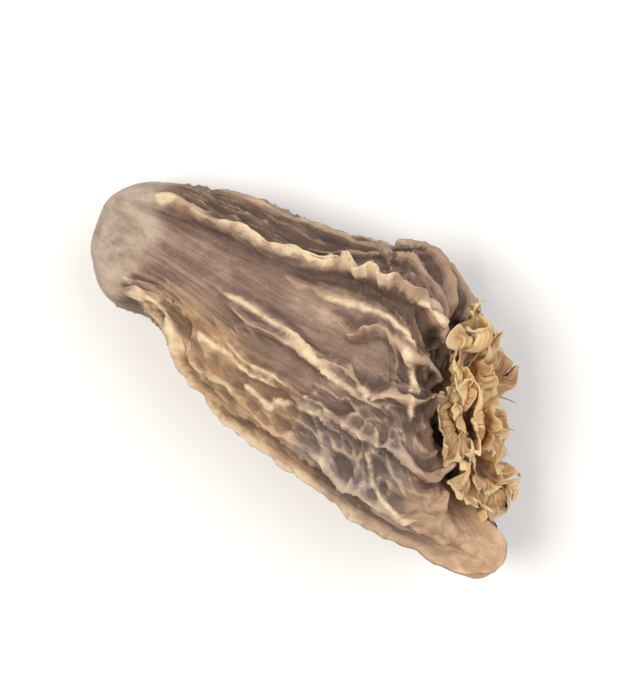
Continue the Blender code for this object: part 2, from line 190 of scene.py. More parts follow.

# Folds on the upper side: height and half width in mm, how strong a cream highlight is painted along them,
# and places as seen from above in mm from the stem end and from the middle. First the arch inside the strong
# rib, the groove beside it and the soft second ridge. Then the strong rib's end, five painted highlight
# strokes on the golden side, the loop, the tongue's crest and groove, two creases and a groove before the
# flower end, the hollow there that painted shade darkens, and the groove above the strong rib
FOLDS = (
    (0.42, 0.24, 1.1, (
        (11.0, 2.7), (12.3, 2.9), (13.7, 3.2), (15.1, 3.4), (16.1, 3.0), (16.8, 2.3), (17.4, 1.4),
        (17.9, 0.5), (18.3, -0.4), (18.6, -1.2),
    )),
    (-0.34, 0.32, 0.0, ((9.6, 3.1), (10.8, 3.4), (12.0, 3.9), (13.4, 4.1), (14.6, 4.0), (15.8, 4.2))),
    (0.38, 0.26, 0.95, (
        (6.8, 0.65), (8.0, 0.65), (9.2, 0.6), (10.5, 0.45), (12.2, 0.0), (14.4, -0.45), (16.4, -0.7),
        (17.6, -0.9),
    )),
    (0.34, 0.20, 1.0, ((15.2, 4.6), (16.6, 4.9), (17.7, 4.4), (18.2, 3.5), (18.5, 2.6), (18.7, 2.0))),
    (0.28, 0.22, 1.0, (
        (6.6, -1.5), (7.4, -1.8), (8.2, -1.9), (9.0, -1.8), (9.8, -2.1), (10.6, -2.2), (11.4, -2.1),
        (12.2, -2.4),
    )),
    (0.26, 0.22, 0.9, ((10.2, -2.8), (10.9, -3.0), (11.8, -3.3), (12.4, -3.3))),
    (0.22, 0.24, 0.8, ((11.7, -2.9), (12.6, -2.7), (13.5, -2.6), (14.4, -2.3), (15.2, -2.5))),
    (0.26, 0.19, 0.7, ((7.0, -2.9), (7.9, -3.2), (8.8, -3.3), (9.6, -3.3), (10.2, -3.7))),
    (0.22, 0.30, 0.6, (
        (1.9, -0.6), (2.9, -1.2), (3.9, -1.5), (4.8, -1.9), (5.9, -2.3), (6.8, -2.7), (7.4, -2.9),
    )),
    (0.28, 0.18, 0.5, (
        (15.2, -2.2), (16.0, -1.6), (17.1, -1.8), (17.6, -2.7), (17.0, -3.5), (15.8, -3.5), (15.1, -2.6),
    )),
    (0.30, 0.20, 0.9, (
        (16.9, -2.6), (17.5, -3.3), (18.1, -4.1), (19.0, -4.8), (20.4, -5.2), (22.2, -5.2), (23.4, -5.1),
    )),
    (-0.32, 0.24, 0.0, ((20.8, -1.8), (21.8, -2.1), (22.9, -2.5), (24.2, -2.9), (24.9, -3.1))),
    (0.26, 0.16, 0.4, ((16.6, -0.1), (17.4, -0.6), (18.2, -1.6), (19.0, -2.4), (19.6, -2.8))),
    (0.26, 0.16, 0.4, ((18.4, 3.4), (18.8, 2.6), (19.0, 1.7), (19.2, 0.8))),
    (-0.35, 0.26, 0.0, ((17.5, 3.6), (18.1, 2.7), (18.5, 1.6), (18.8, 0.6))),
    (-0.50, 0.35, 0.0, ((18.2, 4.9), (18.6, 4.3), (18.9, 3.7))),
    (-0.32, 0.34, 0.0, ((3.4, 4.2), (5.2, 4.4), (7.1, 4.7), (9.0, 4.7), (10.6, 4.8), (12.6, 5.2))),
)

RANDOM = np.random.default_rng(20)
SWAY_PHASE = RANDOM.uniform(0, 2 * math.pi, (RIB_COUNT, 3))
NOTCH_PHASE = RANDOM.uniform(0, 2 * math.pi, (RIB_COUNT, 3))
LEAN_PHASE = RANDOM.uniform(0, 2 * math.pi, (RIB_COUNT, 3))
LUMP_PHASE = RANDOM.uniform(0, 2 * math.pi, len(LUMPS))
TOOTH_SHARE = RANDOM.uniform(0.35, 1.0, CROWN_TEETH)
TOOTH_CURL = RANDOM.uniform(-22.0, 26.0, CROWN_TEETH)
TOOTH_POINT = RANDOM.uniform(0.35, 1.1, CROWN_TEETH)
TOOTH_TURN = RANDOM.uniform(-0.1, 0.1, CROWN_TEETH)
DETAIL = np.random.default_rng(7)


def smoothstep(low, high, x):
    """0 below low, 1 above high, and a smooth rise between."""
    share = np.clip((x - low) / (high - low), 0, 1)
    return share * share * (3 - 2 * share)


def net_noise(ring, along, cells_round, cells_along):
    """Gradient noise, about -1 to 1, that closes round the pod.

    A random slope stands at each corner of a net of cells, and smoothsteps blend the four slopes of a cell.
    """
    turn = DETAIL.uniform(0, 2 * math.pi, (cells_along + 3, cells_round))
    x = ring * cells_round
    y = np.clip(along, 0, 1) * cells_along
    column, row = np.floor(x).astype(int), np.floor(y).astype(int)
    total = 0
    for over in (0, 1):
        for down in (0, 1):
            slope = turn[row + down, (column + over) % cells_round]
            right, below = x - column - over, y - row - down
            weight = (1 - smoothstep(0, 1, np.abs(right))) * (1 - smoothstep(0, 1, np.abs(below)))
            total = total + weight * (np.cos(slope) * right + np.sin(slope) * below)
    return 1.6 * total


def ridges(noise, sharpness):
    """Thin ridges, 1 high, where a noise passes through zero."""
    return (1 - np.minimum(np.abs(noise), 1)) ** sharpness


def waves(phase, along):
    """A sum of three waves for each rib, from -1 to 1. Rows are places along, and columns are ribs."""
    turns = 2 * math.pi * along[:, None, None] * WAVE_COUNTS
    return (WAVE_SHARES * np.sin(turns + phase)).sum(axis=2)


def outline(length_share):
    """Radius as a share of the widest: blunt cap, nearly straight flank, then a superellipse quarter."""
    cap = (1 - np.clip(1 - length_share / STEM_CAP, 0, 1) ** 2) ** (1 / STEM_CAP_BLUNT)
    flank = 1 - (1 - STEM_SHARE) * np.clip(1 - length_share / WIDEST_AT, 0, 1) ** FLANK_CURVE
    past = np.clip((length_share - WIDEST_AT) / (1 - WIDEST_AT), 0, 1)
    return cap * flank * (1 - past**FLOWER_TAPER) ** (1 / FLOWER_BLUNT)


def even_rows(count):
    """Shares of the length at rows evenly spaced along the skin, from one pole to the other."""
    share = (1 - np.cos(np.linspace(0, math.pi, FINE_STEPS))) / 2
    step = np.hypot(np.diff(share) * HUSK_LENGTH, np.diff(outline(share)) * HALF_WIDTH)
    run = np.concatenate([[0], np.cumsum(step)])
    return np.interp(np.linspace(0, run[-1], count), run, share)


def rib_angles(along):
    """Each rib's angle in radians along the run, before it sways: even at the poles, its own between."""
    crowded = 1 - smoothstep(*CROWD_OVER, along)
    own = RIB_ANGLE + crowded[:, None] * np.interp(RIB_ANGLE, CROWD_AT, CROWD_SHIFT)
    even = RIB_ANGLE[0] + 360 / RIB_COUNT * np.arange(RIB_COUNT)
    free = smoothstep(*EVEN_STEM, along) * (1 - smoothstep(*EVEN_FLOWER, along))
    return np.radians(even + (own - even) * free[:, None])


def rib_heights(along):
    """Each rib's height at each place along, with its notches. Those underneath are pressed low."""
    rise = smoothstep(RIB_START, RIB_START + RIB_RISE, along[:, None])
    growth = GROWTH_STEM + (GROWTH_BELLY - GROWTH_STEM) * smoothstep(*GROWTH_OVER, along)[:, None]
    notches = 1 + NOTCH_SHARE * waves(NOTCH_PHASE, along)
    fade = 1 - FADE_SHARE * smoothstep(*FADE_OVER, along)[:, None]
    pressed = PRESSED_SHARE * np.exp(-(((RIB_ANGLE - PRESSED_AT) / PRESSED_WIDTH) ** 2))
    return RIB_HEIGHT * rise * growth * notches * fade * (1 - pressed)


def section(angle, flatness):
    """Radius round the pod as a share: a polygon of flats with round corners, mixed with a circle."""
    total = sum(
        (np.clip(np.cos(angle - math.radians(at)), 0, 1) / far) ** FLAT_SHARPNESS
        for at, far in FLATS
    )
    return 1 + flatness * (total ** (-1 / FLAT_SHARPNESS) - 1)


def body_surface(length_share, angle):
    """The smooth body under the ribs. Rows share a place along the pod, and columns go round it."""
    share = length_share[:, None]
    radius = outline(share)
    ring = radius * section(angle, FLATNESS_STEM + (FLATNESS_BELLY - FLATNESS_STEM) * share)
    side = ring * HALF_WIDTH * np.cos(angle)
    up = ring * HALF_HEIGHT * np.sin(angle)
    far_end = smoothstep(SLANT_FROM, 1.0, share)
    along = HUSK_LENGTH * share - far_end * (SLANT_SIDE * side + SLANT_UP * up)
    flower_side = share > WIDEST_AT
    across = radius * HALF_WIDTH
    dish = 1 - smoothstep(DISH_RADIUS - DISH_EDGE, DISH_RADIUS + DISH_EDGE, across)
    scar = 1 - smoothstep(SCAR_FLOOR, SCAR_RADIUS, across)
    along = along - np.where(flower_side, DISH_DEPTH * dish, -SCAR_DEPTH * scar)
    off = (np.degrees(angle) - TONGUE_ANGLE) / TONGUE_WIDTH
    tongue = np.exp(-off * off) * smoothstep(*TONGUE_ALONG, share) * smoothstep(*TONGUE_OUT, radius)
    along = along + TONGUE_REACH * tongue - STEM_SLANT * side * (1 - smoothstep(*STEM_SLANT_OVER, share))
    run = HUSK_LENGTH * share
    flank = FLANK_IN * smoothstep(*FLANK_IN_FROM, run) * (1 - FLANK_EASE * smoothstep(*FLANK_EASE_OVER, run))
    waist = WAIST_IN * np.exp(-(((run - WAIST_AT) / WAIST_LENGTH) ** 2))
    side = side + (flank + waist) * smoothstep(0, FLANK_REACH, -side)
    side = side + STEM_SIDE * (1 - smoothstep(*STEM_SIDE_OVER, share))
    side = side + SEAT_SIDE * smoothstep(*SEAT_SIDE_OVER, share)
    return np.stack([along, side, up], axis=-1)


def normals_of(points):
    """Outward unit normals of a closed ring grid."""
    down = np.gradient(points, axis=0)
    round_it = np.roll(points, -1, axis=1) - np.roll(points, 1, axis=1)
    normal = np.cross(round_it, down)
    length = np.linalg.norm(normal, axis=-1, keepdims=True)
    return normal / np.maximum(length, TINY)


class Skin:
    """The places of a husk grid: its rows along the run, and its columns between one rib and the next."""

    def __init__(self, row_count, places):
        self.length_share = even_rows(row_count)
        self.along = np.linspace(0, 1, row_count)
        self.rib = np.repeat(np.arange(RIB_COUNT), len(places))
        self.place = np.tile(places, RIB_COUNT)
        self.near = np.where(self.place < 0.5, self.rib, (self.rib + 1) % RIB_COUNT)
        self.off = np.minimum(self.place, 1 - self.place)
        self.round_share = (self.rib + self.place) / RIB_COUNT
        angles = rib_angles(self.along)
        following = np.roll(angles, -1, axis=1)
        following[:, -1] += 2 * math.pi
        self.gap = (following - angles)[:, self.rib]
        self.angle = angles[:, self.rib] + self.gap * self.place
        self.distance = self.off * self.gap * outline(self.length_share)[:, None] * HALF_WIDTH

    def between(self, rise, fall):
        """1 along the run between a rise and a fall, as a column of rows."""
        return (smoothstep(*rise, self.along) * (1 - smoothstep(*fall, self.along)))[:, None]

    def patch(self, at, run_at, width, length):
        """A soft patch round an angle in degrees and a share of the run: 1 in its middle, 0 far off."""
        off = (np.degrees(self.angle) - at + 180) % 360 - 180
        return np.exp(-((off / width) ** 4) - ((self.along[:, None] - run_at) / length) ** 4)


def husk_form(skin, extra_sway=0.0, extra_notch=0.0):
    """The husk's points: the smooth body, with ribs, valleys and lumps raised along its normals.

    A rib is a wing, exp(-(distance / thickness) ** power), on a low Gaussian swell. Its crest sways and
    leans with the rib's waves. Returns the points, the wing and swell profiles, and the height.
    """
    swell = np.exp(-((skin.distance / SWELL_THICKNESS) ** 2))
    wing = np.exp(-((skin.distance / WING_THICKNESS) ** WING_POWER))
    height = rib_heights(skin.along)[:, skin.near] * (1 + extra_notch)
    sway = np.radians(SWAY_STEM + (SWAY_FLOWER - SWAY_STEM) * smoothstep(*SWAY_OVER, skin.along))
    sway = sway[:, None] * skin.between(SWAY_FROM, SWAY_TO)
    angle = skin.angle + sway * waves(SWAY_PHASE, skin.along)[:, skin.near] * (1 - 2 * skin.off)
    angle = angle + extra_sway * (1 - 2 * skin.off)
    points = body_surface(skin.length_share, angle)
    raised = height * (SWELL_SHARE * swell + (1 - SWELL_SHARE) * wing)
    valley = VALLEY_DEPTH * (1 - (1 - 2 * skin.off) ** 2) * skin.between(VALLEY_FROM, VALLEY_TO)
    round_pod = 2 * math.pi * skin.round_share
    lumps = sum(
        tall * np.sin(turns * round_pod + 2 * math.pi * runs * skin.along[:, None] + phase)
        for (turns, runs, tall), phase in zip(LUMPS, LUMP_PHASE)
    )
    lumps = lumps * skin.between(LUMPS_FROM, LUMPS_TO)
    points = points + normals_of(points) * (raised - valley + lumps)[..., None]
    unpressed = 0.5 + 0.5 * np.sin(angle)
    lean = LEAN * waves(LEAN_PHASE, skin.along)[:, skin.near] * wing * height * unpressed
    tangent = np.stack([np.zeros_like(angle), -np.sin(angle), np.cos(angle)], axis=-1)
    return points + tangent * lean[..., None], wing, swell, height


def blurred(values, rows, columns):
    """The mean of a ring grid over a window of that many rows and columns to each side, by running sums."""
    padded = np.pad(values, ((rows, rows), (0, 0)), mode="edge")
    padded = np.pad(padded, ((0, 0), (columns, columns)), mode="wrap")
    for axis, reach in ((0, rows), (1, columns)):
        size = 2 * reach + 1
        total = np.insert(np.cumsum(padded, axis=axis), 0, 0, axis=axis)
        count = total.shape[axis]
        ahead = np.take(total, range(size, count), axis=axis)
        behind = np.take(total, range(0, count - size), axis=axis)
        padded = (ahead - behind) / size
    return padded


def grain_of(ring, run, radius):
    """Seam-free places for a pattern that follows the surface, in mm: a circle round it and the run along."""
    turn = 2 * math.pi * ring
    return np.stack([radius * np.cos(turn), radius * np.sin(turn), run + 0 * turn], axis=-1)


def near_line(seen, path, width):
    """1 on a line through the path's places as seen from above, and a bell of that width across it.

    The bell fades to nothing over the first and the last sixth of the path.
    """
    path = np.array(path)
    places = np.linspace(0, 1, 12 * len(path))
    line = np.stack([np.interp(places, np.linspace(0, 1, len(path)), side) for side in path.T])
    gaps = np.hypot(seen[..., 0, None] - line[0], seen[..., 1, None] - line[1])
    place = places[gaps.argmin(axis=-1)]
    fade = smoothstep(0.0, 0.17, place) * (1 - smoothstep(0.83, 1.0, place))
    return np.exp(-((gaps.min(axis=-1) / width) ** 1.4)) * fade


def wrinkle_relief(ring, along, flower, patches):
    """The dried skin's relief in mm and its knobs, from places round and along that wander.

    It adds thin ridges of net noises: long wrinkles, small ones, a net of loops and cross wrinkles. Lumps,
    knobs and fibres are plain net noises. A broad noise and the patches set how rough each place is.
    """
    plum, gold, tongue, grey = (patches[name] for name in ("plum", "gold", "tongue", "grey"))
    rough = net_noise(ring, along, 8, 6) + 0.35 * flower + 0.5 * (gold + grey) - 1.2 * plum - 0.6 * tongue
    rough = smoothstep(-0.45, 0.45, rough)
    wrinkles = ridges(net_noise(ring, along, 46, 12), 8)
    small_wrinkles = ridges(net_noise(ring, along, 92, 30), 5)
    loops = ridges(net_noise(ring, along, 40, 30), 8)
    cross = ridges(net_noise(ring, along, 30, 84), 4) * (1 - tongue)
    lumps = net_noise(ring, along, 28, 11)
    knobs = net_noise(ring, along, 54, 24)
    fibres = net_noise(ring, along, 140, 12)
    relief = (
        (0.05 + 0.14 * rough) * (wrinkles - 0.2)
        + (0.03 + 0.07 * rough) * (small_wrinkles - 0.3)
        + (0.08 * gold + 0.30 * grey) * (loops - 0.25)
        + 0.07 * flower * rough * (cross - 0.3)
        + (0.05 + 0.12 * rough) * lumps
        + (0.02 + 0.06 * rough + 0.08 * gold) * knobs
        + 0.035 * fibres
    )
    return relief, knobs


def folded(seen, knobs):
    """The folds' relief in mm and the cream highlight painted along them, on the side that faces up, made
    uneven by the knobs.
    """
    upper = smoothstep(0.05, 0.4, normals_of(seen)[..., 2])
    relief, fold_highlight = np.zeros_like(upper), np.zeros_like(upper)
    for tall, width, pale, path in FOLDS:
        near = near_line(seen, path, width) * upper * (1 + 0.5 * knobs)
        relief = relief + tall * near
        # How strong the painted highlight along the folds is
        fold_highlight = np.maximum(fold_highlight, pale * near)
    return relief, fold_highlight


def husk_skin():
    """The husk's form with the fine wrinkles of dried skin raised along its normals, and its values a point.

    Places round and along wander by net noises, so that no wrinkle is straight. The ribs ruffle towards the
    flower end, fray and are nicked. Wrinkles fade at both ends and on the crests, and folds come on top.
    """
    step = np.arange(SKIN_COLUMNS_PER_RIB) / SKIN_COLUMNS_PER_RIB
    skin = Skin(SKIN_ROWS, step - CREST_CROWDING * np.sin(2 * math.pi * step) / (2 * math.pi))
    run = np.broadcast_to(skin.along[:, None], skin.angle.shape)
    turn = skin.angle / (2 * math.pi)
    ring = turn + 0.010 * net_noise(turn, run, 9, 8) + 0.004 * net_noise(turn, run, 26, 22)
    along = run + 0.016 * net_noise(turn, run, 11, 12)

    flower = smoothstep(0.42, 0.74, run)
    crest_ring = (skin.near + 0.5) / RIB_COUNT + 0 * run
    ruffle = net_noise(crest_ring, run, RIB_COUNT, 18) * flower
    fray = net_noise(crest_ring, run, RIB_COUNT, 80)
    nick = net_noise(crest_ring, run, RIB_COUNT, 34)
    free = skin.between((0.08, 0.2), (0.84, 0.92))
    extra_sway = np.radians(4.2 * ruffle + 1.0 * fray * (0.3 + 0.7 * flower)) * free
    extra_notch = (0.26 * nick + 0.12 * fray) * free
    points, wing, swell, height = husk_form(skin, extra_sway, extra_notch)

    patches = {name: skin.patch(*where) for name, where in PATCHES.items()}
    stem = 1 - smoothstep(0.13, 0.21, run + 0.03 * net_noise(turn, run, 7, 8))
    body = smoothstep(0.02, 0.1, run) * (1 - smoothstep(0.93, 0.99, run))
    relief, knobs = wrinkle_relief(ring, along, flower, patches)
    detail = relief * body * (1 - 0.7 * stem) * (1 - 0.5 * wing)
    detail = detail + 0.16 * patches["tongue"] * net_noise(ring, along, 22, 26)
    fold_relief, fold_highlight = folded(laid_down(points), knobs)
    detail = detail + fold_relief
    points = points + normals_of(points) * detail[..., None]

    raised = detail + height * wing
    deep = height * swell * SWELL_SHARE + raised
    scar_share = outline(skin.length_share)[:, None] * HALF_WIDTH / SCAR_RADIUS + 0 * detail
    gold, rubbed = patches["gold"], patches["rubbed"]
    # The crests' cream: partly wear, partly painted highlight along the ribs and folds
    worn = RIB_PALE[skin.near] * (0.85 + 0.6 * nick) * wing**0.8 * smoothstep(0.15, 0.5, height)
    worn = worn * (1 - 0.7 * smoothstep(0.64, 0.76, run))
    # Painted shade in small hollows; small rises turn pale, partly wear and partly painted highlight. The
    # golden and paler patches get less of the shade
    hollow = np.clip((blurred(raised, 4, 5) - raised) / 0.11, -1, 1)
    values = {
        "crest": np.clip(np.maximum(worn, fold_highlight), 0, 1),
        "hollow": hollow * (1 - (hollow > 0) * (0.4 * gold + 0.3 * rubbed)),
        # Painted shade in the broad valleys between the ribs
        "valley": np.clip((blurred(deep, 14, 16) - blurred(deep, 3, 3)) / 0.2, -1, 1),
        **patches,
        "stem": stem,
        "scar": (1 - smoothstep(0.4, 1.0, scar_share)) * (run < 0.5),
        "grain": grain_of(turn, run * GRAIN_RUN, GRAIN_RADIUS),
    }
    laid = laid_down(points)
    height = laid[..., 2]
    laid[..., 2] = np.clip(height, 0, None) - WORN_SHARE * np.clip(height - WORN_FROM, 0, None)
    return laid, values


def floor_height():
    """Height of the flat spot once the pod is turned, a little above the smooth body's lowest point."""
    turn = math.radians(PITCH)
    angle = np.radians(np.tile(np.arange(0.0, 360.0, 2.0), (SOLID_ROWS, 1)))
    along, _, up = np.moveaxis(body_surface(even_rows(SOLID_ROWS), angle), -1, 0)
    return (along * math.sin(turn) + up * math.cos(turn)).min() + FLAT_DEPTH


def laid_down(points):
    """Turns the pod about its side axis so that the stem end hangs down, with the flat spot at height 0."""
    turn = math.radians(PITCH)
    along, side, up = np.moveaxis(points, -1, 0)
    height = along * math.sin(turn) + up * math.cos(turn) - floor_height()
    return np.stack([along * math.cos(turn) - up * math.sin(turn), side, height], axis=-1)


def seated(crown):
    """Places points of the crown's own frame, +Z out of the neck, in the dish of the slanted flower end."""
    outward = np.array([1.0, SLANT_SIDE, SLANT_UP])
    outward = outward / np.linalg.norm(outward)
    sideways = np.cross((0.0, 0.0, 1.0), outward)
    sideways = sideways / np.linalg.norm(sideways)
    upward = np.cross(outward, sideways)
    seat = np.array([HUSK_LENGTH - DISH_DEPTH, SEAT_SIDE, 0.0]) + outward * (DISH_DEPTH - PLUG_DEPTH)
    points = (
        seat
        + crown[..., :1] * sideways
        + crown[..., 1:2] * upward * CROWN_HEIGHT_SHARE
        + crown[..., 2:] * outward
    )
    return laid_down(points)


def centring():
    """How far the solids were moved sideways to stand centred over the origin, read from the husk's box."""
    points, _, _, _ = husk_form(Skin(SOLID_ROWS, SOLID_PLACES))
    low = laid_down(points).reshape(-1, 3).min(axis=0)
    cad_low = np.array(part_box("husk")[0]) / MM
    return (low - cad_low) * (1, 1, 0)


MIDDLE = centring()


def joined(start, steps):
    """Adds up steps along the first axis, from a start."""
    return start + np.concatenate([np.zeros((1, steps.shape[1])), np.cumsum(steps, axis=0)])


def paper_crown(share, curl, point, turn, neck, rise, length, flare, lip, fray):
    """A ring of torn paper strips on a neck, in its own frame, +Z out of the neck, and its values a point.

    A strip's reach falls off from its middle as a power of a cosine, roughened by noise and cut by narrow
    tears. Along it the paper bends steadily from its flare at the neck to its flare at the tip and rolls back
    at its lip. It is crumpled along its normal by net noise and lengthwise creases, and has half its
    thickness to each side. Angles are in degrees.
    """
    count = len(share)
    column = np.arange(count * STRIP_COLUMNS)
    strip, step = column // STRIP_COLUMNS, column % STRIP_COLUMNS
    after = (strip + 1) % count
    mix = step / STRIP_COLUMNS
    nearest = np.where(mix < 0.5, strip, after)
    peak = 0.66 + 0.34 * np.abs(np.cos(math.pi * mix)) ** point[nearest]
    ring = (strip + mix) / count
    coarse, fine = net_noise(ring, 0 * ring, count * 3, 1), net_noise(ring, 0 * ring, count * 10, 1)
    cut = np.exp(-((net_noise(ring, 0 * ring, count * 2, 1) / 0.1) ** 2))
    torn = (1 + 2.4 * fray * coarse + fray * fine) * (1 - 0.22 * cut)
    reach = (rise + length * (TOOTH_ROOT + peak * share[nearest])) * torn

    up_share = np.linspace(0, 1, PAPER_STEPS)[:, None]
    run = up_share * reach
    bent = run / (rise + length)
    around = np.broadcast_to(ring, run.shape)
    bend = flare[0] * (1 - bent) + (flare[1] + curl[strip] * (1 - mix) + curl[after] * mix) * bent
    bend = bend + 34 * net_noise(around, bent, count, 2) * smoothstep(0.1, 0.7, bent)
    bend = bend + lip * smoothstep(0.5, 1.0, bent) * (0.55 + 0.45 * net_noise(around, bent, count, 1))
    bend = np.radians(bend)
    middle = (bend[1:] + bend[:-1]) / 2
    out = joined(neck, np.diff(run, axis=0) * np.sin(middle))
    up = joined(NECK_HEIGHT, np.diff(run, axis=0) * np.cos(middle))

    crumple = 0.22 * net_noise(around, bent, count * 2, 4) + 0.05 * net_noise(around, bent, count * 6, 10)
    crumple = crumple + 0.16 * (ridges(net_noise(around, bent, count * 3, 2), 3) - 0.35)
    crumple = crumple + 1.2 * bent * net_noise(around, bent, count, 2)
    crumple = crumple * smoothstep(0.0, 0.2, bent)
    out, up = out + crumple * np.cos(bend), up - crumple * np.sin(bend)
    half = PAPER / 2 * (1.3 - 0.9 * up_share)
    angle = 2 * math.pi * ring + turn[strip] * (1 - mix) + turn[after] * mix
    angle = angle + 0.12 * net_noise(around, bent, count * 2, 5) * smoothstep(0.2, 0.8, bent)

    outside = np.stack([out + half * np.cos(bend), up - half * np.sin(bend)])
    inside = np.stack([out - half * np.cos(bend), up + half * np.sin(bend)])
    edge = np.stack([out[-1:] + half[-1:] * np.sin(bend[-1:]), up[-1:] + half[-1:] * np.cos(bend[-1:])])
    flat = np.ones((1, len(column)))
    foot = np.array([[0.0, 0.7 * neck, neck], [0.0, 0.0, 0.35 * NECK_HEIGHT]])[..., None] * flat
    heart = np.array([[0.5 * neck, 0.25 * neck, 0.0], [0.9, 0.8, 0.9]])[..., None] * flat
    profile = np.concatenate([foot, outside, edge, inside[:, ::-1], heart], axis=1)
    angles = np.concatenate([angle[:1]] * 3 + [angle, angle[-1:], angle[::-1]] + [angle[:1]] * 3)
    crown = np.stack([profile[0] * np.cos(angles), profile[0] * np.sin(angles), profile[1]], axis=-1)

    root = np.zeros((3, len(column)))
    runs = np.concatenate([root, run, run[-1:], run[::-1], root])
    tears = smoothstep(0.7, 1.0, up_share) * np.ones_like(run)
    # The root and fold values drive painted shade at the strips' root and in their pushed-in creases
    values = {
        "tear": np.concatenate([root, tears, tears[-1:], tears[::-1], root]),
        "root": 1 - smoothstep(0.0, 0.5, runs / (rise + length)),
        "fold": np.concatenate([root, crumple, crumple[-1:], -crumple[::-1], root]) / 0.2,
        "grain": grain_of(ring * np.ones_like(runs), runs, neck + 1.5),
    }
    return crown, values


def paper_curl():
    """A strip rolled into a loop on the crown's upper side: a narrow crown, laid over, wide and shallow."""
    level = np.zeros(len(CURL_SHARE))
    crown, values = paper_crown(
        np.array(CURL_SHARE), level, level + 0.5, level, CURL_NECK, CURL_RISE, CURL_LENGTH, CURL_FLARE,
        CURL_LIP, CURL_FRAY,
    )
    x, y, z = np.moveaxis(crown, -1, 0)
    across, up, out = CURL_AT
    return seated(np.stack([across + CURL_WIDE * x, up + z, out - CURL_SHALLOW * y], axis=-1)), values


def torn_fibres(count):
    """Stiff fibres in and before the crown, in its own frame: round tubes that leave the neck and bend.

    A fibre's middle line goes out along its lean and bends with the square of its run. Its radius tapers.
    """
    run = np.linspace(0, 1, FIBRE_STEPS)[:, None]
    around = np.linspace(0, 2 * math.pi, FIBRE_SIDES, endpoint=False)
    fibres = []
    for _ in range(count):
        at, lean, twist = DETAIL.uniform(0, 2 * math.pi), DETAIL.uniform(0.3, 1.2), DETAIL.uniform(-0.7, 0.7)
        start, length, bow = DETAIL.uniform(0.8, 2.9), DETAIL.uniform(1.1, 2.2), DETAIL.uniform(-0.9, 0.5)
        out = start + length * math.sin(lean) * run + bow * run**2
        up = NECK_HEIGHT + length * math.cos(lean) * run - 0.4 * bow * run**2
        turn = at + twist * run**2
        radius = FIBRE_RADIUS * (1.1 - 0.8 * run)
        radius[[0, -1]] = 0
        wide, tall = radius * np.cos(around), radius * np.sin(around)
        x = (out + tall) * np.cos(turn) - wide * np.sin(turn)
        y = (out + tall) * np.sin(turn) + wide * np.cos(turn)
        fibres.append(seated(np.stack([x, y, up + 0 * wide], axis=-1)))
    return fibres


def flat_list(values):
    """A ring grid's values a point, in the mesh's order: the rings, then the mean of each pole's row."""
    rings = values[1:-1].reshape(-1, *values.shape[2:])
    return np.concatenate([rings, values[[0, -1]].mean(axis=1)])


def ring_faces(rows, columns):
    """Faces of a closed ring grid: quads between rings, and a fan of triangles at each pole."""
    index = np.arange(rows * columns).reshape(rows, columns)
    beside = np.roll(index, -1, axis=1)
    quads = np.stack([index[:-1], beside[:-1], beside[1:], index[1:]], axis=-1).reshape(-1, 4)
    first, last = rows * columns, rows * columns + 1
    start = np.stack([np.full(columns, first), beside[0], index[0]], axis=-1)
    end = np.stack([np.full(columns, last), index[-1], beside[-1]], axis=-1)
    return quads.tolist() + start.tolist() + end.tolist()


def mesh_piece(name, points, faces, material):
    """A piece from its points in mm, centred as the solids are, and its faces."""
    mesh = bpy.data.meshes.new(name)
    mesh.from_pydata(((points - MIDDLE) * MM).tolist(), [], faces)
    mesh.shade_smooth()
    mesh.materials.append(material)
    piece = bpy.data.objects.new(name, mesh)
    bpy.context.scene.collection.objects.link(piece)
    return piece


def grid_piece(name, grid, values, material):
    """A closed piece from a ring grid, with its values as attributes."""
    piece = mesh_piece(name, flat_list(grid), ring_faces(grid.shape[0] - 2, grid.shape[1]), material)
    for label, value in values.items():
        kind, key = ("FLOAT_VECTOR", "vector") if value.ndim == 3 else ("FLOAT", "value")
        layer = piece.data.attributes.new(label, kind, "POINT")
        layer.data.foreach_set(key, flat_list(value).ravel())
    return piece


def linear(code):
    """The linear colour of an sRGB hex code, opaque."""
    shares = np.array([int(code[i:i + 2], 16) for i in (1, 3, 5)]) / 255
    low, high = shares / 12.92, ((shares + 0.055) / 1.055) ** 2.4
    return (*np.where(shares <= 0.04045, low, high).tolist(), 1.0)


def add_node(tree, kind, inputs=None, out=0, **settings):
    """Adds a node and gives one of its outputs. An input takes a socket, a value or an sRGB hex code."""
    node = tree.nodes.new("ShaderNode" + kind)
    for key, value in settings.items():
        setattr(node, key, value)
    for key, value in (inputs or {}).items():
        if isinstance(value, bpy.types.NodeSocket):
            tree.links.new(value, node.inputs[key])
        else:
            node.inputs[key].default_value = linear(value) if isinstance(value, str) else value
    return node.outputs[out]


def cloudy(tree, place, sizes, detail=4.0, roughness=0.55):
    """Noise at a place, with features of those sizes along its three directions."""
    scaled = add_node(tree, "Mapping", {0: place, 3: tuple(1 / size for size in sizes)})
    noise = {"Vector": scaled, "Scale": 1.0, "Detail": detail, "Roughness": roughness}
    return add_node(tree, "TexNoise", noise)


def painted(tree, colour, layers):
    """Lays colours on one another. A layer grows to its share as its source goes from start to end."""
    for source, start, end, share, over in layers:
        if isinstance(source, str):
            source = add_node(tree, "Attribute", out="Fac", attribute_name=source)
        reach = {0: source, 1: start, 2: end, 4: share}
        cover = add_node(tree, "MapRange", reach, interpolation_type="SMOOTHSTEP")
        colour = add_node(tree, "Mix", {0: cover, 6: colour, 7: over}, out=2, data_type="RGBA")
    return colour


def new_material(name):
    """An empty node material and its shader."""
    material = bpy.data.materials.new(name)
    material.use_nodes = True
    tree = material.node_tree
    return material, tree, tree.nodes["Principled BSDF"]


def bumped(tree, shader, layers):
    """Bumps of (height socket, depth in mm) one on the other, finest last."""
    under = {}
    for height, depth in layers:
        under = {"Normal": add_node(tree, "Bump", {"Height": height, "Distance": depth * MM, **under})}
    tree.links.new(under["Normal"], shader.inputs["Normal"])


